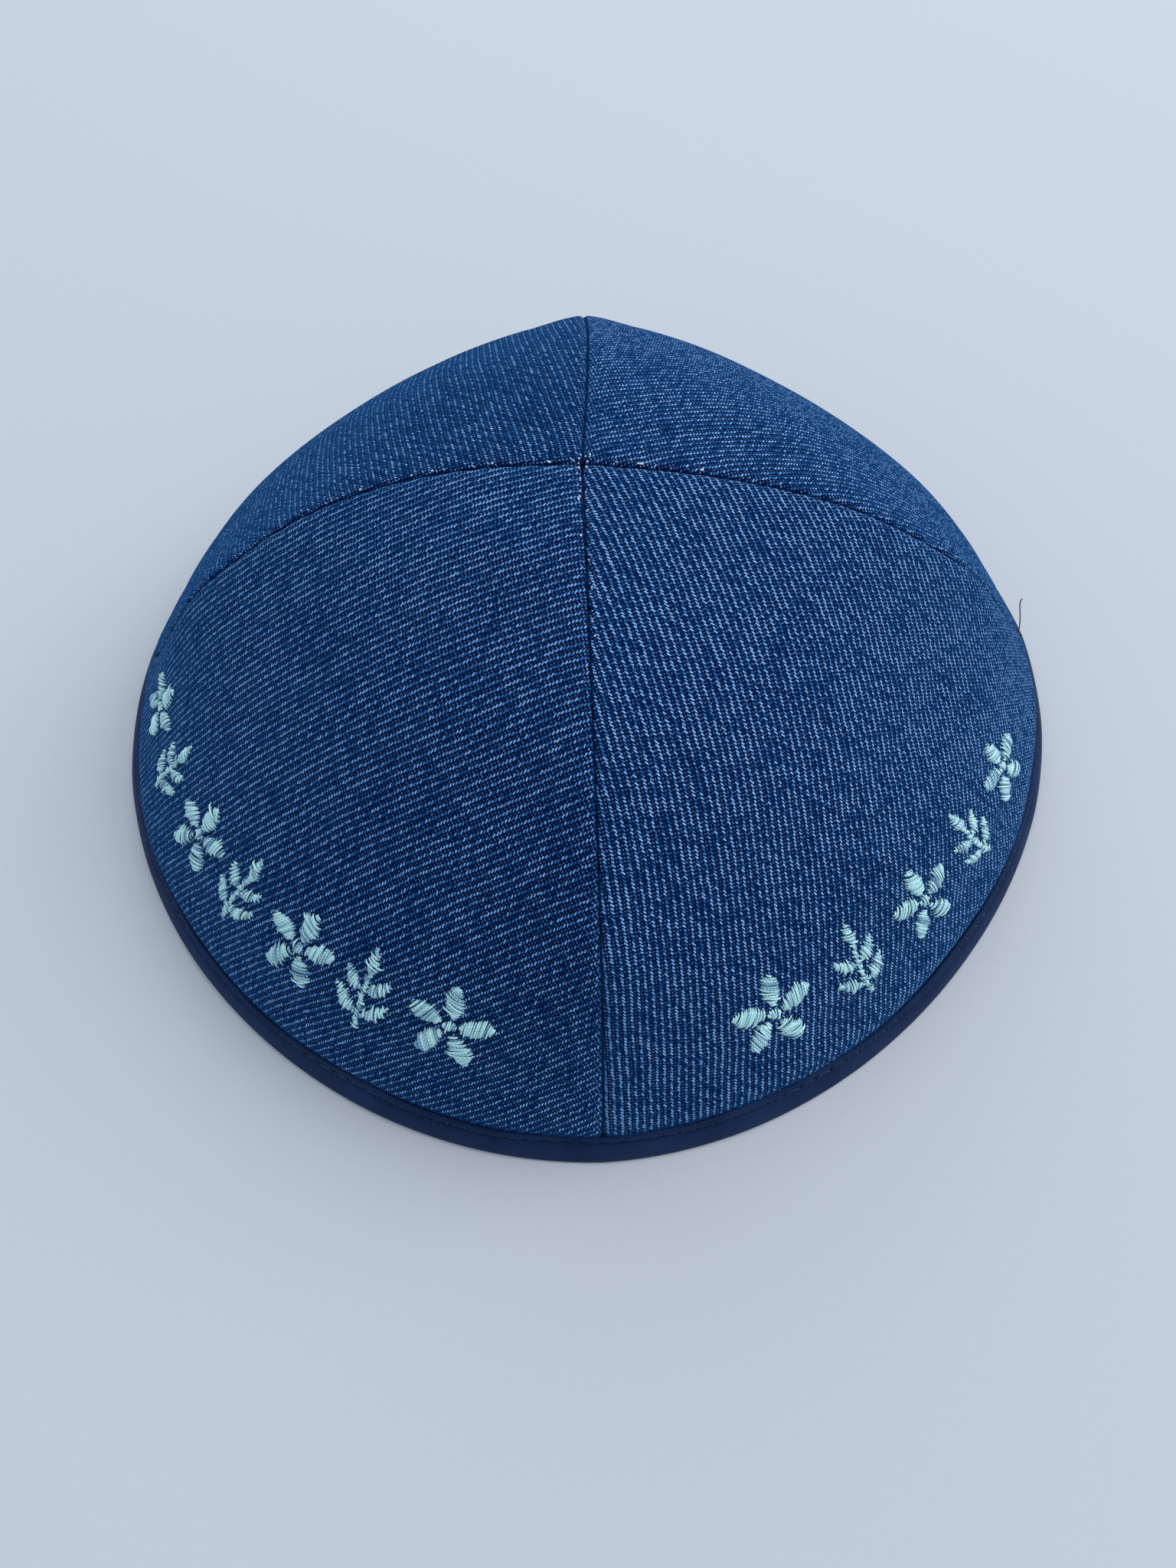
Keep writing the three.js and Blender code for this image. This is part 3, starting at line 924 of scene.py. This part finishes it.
def embroidery():
    random = np.random.default_rng(64)
    starts, ends, panels, places = [], [], [], []
    for panel, spots in border["places"].items():
        for k, spot in enumerate(spots):
            motif = blossom if k % 2 == 0 else sprig
            tilt = math.radians(random.normal(0, 5))
            turn = np.array([[math.cos(tilt), -math.sin(tilt)], [math.sin(tilt), math.cos(tilt)]])
            for a, b in motif(random):
                starts.append(turn @ a)
                ends.append(turn @ b)
                panels.append(panel)
                places.append(spot)
    starts, ends, panels, places = (np.array(kept) for kept in (starts, ends, panels, places))
    count, steps = len(starts), border["stitchPoints"]
    t = np.linspace(0, 1, steps)
    local = starts[:, None] * (1 - t[:, None]) + ends[:, None] * t[:, None]
    arch = np.sqrt(np.clip(1 - (2 * t - 1) ** 2, 0, 1))
    length = np.linalg.norm(ends - starts, axis=1)
    loft = border["loft"] * np.clip(length / 2.4, 0.45, 1.0) * random.uniform(0.65, 1.3, count)
    lift = -border["sunk"] + (loft[:, None] + border["sunk"]) * arch[None, :]
    paths, lifts = np.zeros((count, steps, 3)), np.zeros((count, steps, 3))
    for panel, height in border["bandHeight"].items():
        mine = panels == panel
        along = height + local[mine][..., 1] * mm
        across = places[mine][:, None] + local[mine][..., 0] * mm / panelWidth(panel, along)
        paths[mine], lifts[mine] = onCloth(panel, across, along, lift[mine])
    radius = border["threadRadius"] * random.uniform(0.85, 1.15, count)
    points, faces, yarn = strands(paths, lifts, radius, border["threadFlatness"])
    makePiece("border_embroidery", points, faces, [aquaFinish], "aqua_thread", notes={"yarn": yarn})


embroidery()

# White thread that shows where the cloth is rolled into the seams, most of it at the crown
whiteEnds = {
    # panel, place across it, how far from the crown in millimetres
    "atCrown": ((1, 0.30, 1.15), (1, 0.62, 0.75), (1, 0.80, 1.35), (1, 0.12, 1.75), (0, 0.35, 0.95),
                (0, 0.80, 1.5), (0, 0.62, 2.1), (3, 0.45, 1.0), (2, 0.7, 1.2)),
    # panel, and whether the ends show at its far seam: behind the side seams, and on both sides of the front
    "seamSides": ((1, True), (0, False), (2, True), (3, False)),
    "alongSeams": 5,           # tries for each of those, fewer far from the crown
    "farthest": 62 * mm,
    "halfLength": (0.12, 0.26),  # millimetres
    "crownLength": 0.9,        # share of it at the crown
    "radius": 0.15 * mm,
    "flatness": 0.8,
    "bend": 0.12 * mm,
}


def whiteThreadEnds():
    random = np.random.default_rng(18)
    middles, out, ways = [], [], []
    for panel, across, away in whiteEnds["atCrown"]:
        p, n = onCloth(panel, np.array([across]), np.array([profileLength - away * mm]), 0.06 * mm)
        middles.append(p[0])
        out.append(n[0])
        ways.append(unit(random.normal(0, 1, 3)))
    for panel, farSeam in whiteEnds["seamSides"]:
        for _ in range(whiteEnds["alongSeams"]):
            away = random.gamma(1.6, 9.0) * mm + 1.5 * mm
            if away > whiteEnds["farthest"]:
                continue
            along = profileLength - away
            gap = random.uniform(0.35, 0.7) * mm / panelWidth(panel, along)
            across = 1 - gap if farSeam else gap
            p, n = onCloth(panel, np.array([across]), np.array([along]), 0.03 * mm)
            q, _ = onCloth(panel, np.array([across]), np.array([along - 1 * mm]), 0.03 * mm)
            middles.append(p[0])
            out.append(n[0])
            ways.append(unit(unit(p[0] - q[0]) + random.normal(0, 0.5, 3)))
    middles, out, ways = np.array(middles), np.array(out), np.array(ways)
    ways = unit(ways - out * (ways * out).sum(1, keepdims=True))
    half = random.uniform(*whiteEnds["halfLength"], len(middles)) * mm
    half[:len(whiteEnds["atCrown"])] *= whiteEnds["crownLength"]
    t = np.linspace(-1, 1, 5)
    paths = middles[:, None] + ways[:, None] * half[:, None, None] * t[None, :, None]
    paths = paths - out[:, None] * (whiteEnds["bend"] * t[None, :, None] ** 2)
    radius = whiteEnds["radius"] * random.uniform(0.7, 1.2, len(middles))
    points, faces, yarn = strands(paths, np.repeat(out[:, None], len(t), 1), radius, whiteEnds["flatness"])
    makePiece("white_thread_ends", points, faces, [whiteFinish], "white_thread", notes={"yarn": yarn})


# A thread that has come out of the right seam near the rim
looseEnd = {
    "panel": 3,
    "across": 0.992,
    "along": 9.0 * mm,  # up the cloth from the table
    "depth": 0.4 * mm,  # of its root in the seam
    "bends": ((0.0, 0.0, 0.0), (0.5, 0.5, 0.3), (0.75, 1.6, 1.0), (0.8, 3.0, 1.9), (0.75, 4.3, 2.7),
              (0.85, 5.1, 3.2), (1.25, 5.5, 3.4)),  # millimetres from its root
    "points": 25,
    "smoothings": 3,
    "radius": 0.11 * mm,
}


def looseThread():
    across, along = np.array([looseEnd["across"]]), np.array([looseEnd["along"]])
    root, _ = onCloth(looseEnd["panel"], across, along, -looseEnd["depth"])
    bends = np.array(looseEnd["bends"]) * mm
    stops = np.linspace(0, len(bends) - 1, looseEnd["points"])
    path = root[0] + np.stack([np.interp(stops, np.arange(len(bends)), bends[:, k]) for k in range(3)], 1)
    for _ in range(looseEnd["smoothings"]):
        path[1:-1] = (path[:-2] + 2 * path[1:-1] + path[2:]) / 4
    lifts = np.tile(np.array([0.3, -0.8, 0.5]), (len(path), 1))
    points, faces, yarn = strands(path[None], lifts[None], looseEnd["radius"])
    makePiece("loose_thread", points, faces, [navyFinish], "navy_tape", notes={"yarn": yarn})


whiteThreadEnds()
looseThread()

# Floor, light and camera
studio = {
    "floorColour": (0.56, 0.595, 0.645),
    "floorHalf": 2.5,    # metres
    "floorMottle": 0.96,
    "worldColour": (0.78, 0.87, 1.0),
    "worldStrength": 0.64,
    "lamps": (
        # where it hangs, its size, its power and its colour
        ((1.4, 0.6, 1.6), 2.0, 31.0, (1.0, 0.98, 0.96)),
        ((-0.3, 1.6, 1.2), 1.5, 12.0, (0.88, 0.94, 1.0)),
    ),
}
camera = {
    "place": (-0.39 * mm, -120.67 * mm, 169.76 * mm),
    "tiltDown": 59.3,
    "roll": -1.04,
    "focalPixels": 1480,
    "framePixels": (1536, 2048),
}


def makeFloor():
    f = Finish("studio_floor")
    where = f.node("TexCoord").out("Object")
    grainy = f.noise(where, 900.0, 3.0)
    dimmed = tuple(part * studio["floorMottle"] for part in studio["floorColour"])
    colour = f.mix(grainy, dimmed, studio["floorColour"])
    finish = f.done(baseColor=colour, roughness=0.9, iorLevel=0.2)
    half = studio["floorHalf"]
    floor = makePiece("floor", [(-half, -half, 0), (half, -half, 0), (half, half, 0), (-half, half, 0)],
                      [(0, 1, 2, 3)], [finish], None)


def makeLights():
    world = bpy.data.worlds.new("studio_world")
    bpy.context.scene.world = world
    world.use_nodes = True
    background = world.node_tree.nodes["Background"]
    background.inputs["Color"].default_value = (*studio["worldColour"], 1.0)
    background.inputs["Strength"].default_value = studio["worldStrength"]
    for k, (place, size, power, colour) in enumerate(studio["lamps"]):
        lamp = bpy.data.lights.new("softbox_%d" % k, "AREA")
        lamp.shape, lamp.size, lamp.energy, lamp.color = "DISK", size, power, colour
        holder = bpy.data.objects.new(lamp.name, lamp)
        bpy.context.scene.collection.objects.link(holder)
        holder.location = place
        holder.rotation_mode = "QUATERNION"
        holder.rotation_quaternion = Vector(place).to_track_quat("Z", "Y")


def makeCamera():
    lens = bpy.data.cameras.new("photo_camera")
    lens.sensor_fit, lens.sensor_width = "AUTO", 36
    lens.lens = lens.sensor_width * camera["focalPixels"] / max(camera["framePixels"])
    lens.clip_start, lens.clip_end = 0.01, 20
    holder = bpy.data.objects.new("photo_camera", lens)
    bpy.context.scene.collection.objects.link(holder)
    tilt, roll = math.radians(camera["tiltDown"]), math.radians(-camera["roll"])
    back = Vector((0, -math.cos(tilt), math.sin(tilt)))
    level, rise = Vector((1, 0, 0)), Vector((0, math.sin(tilt), math.cos(tilt)))
    across = level * math.cos(roll) - rise * math.sin(roll)
    up = level * math.sin(roll) + rise * math.cos(roll)
    turned = Matrix((across, up, back)).transposed().to_4x4()
    holder.matrix_world = Matrix.Translation(camera["place"]) @ turned
    bpy.context.scene.camera = holder
    bpy.context.scene.view_settings.view_transform = "Standard"


makeFloor()
makeLights()
makeCamera()
print("stage set")
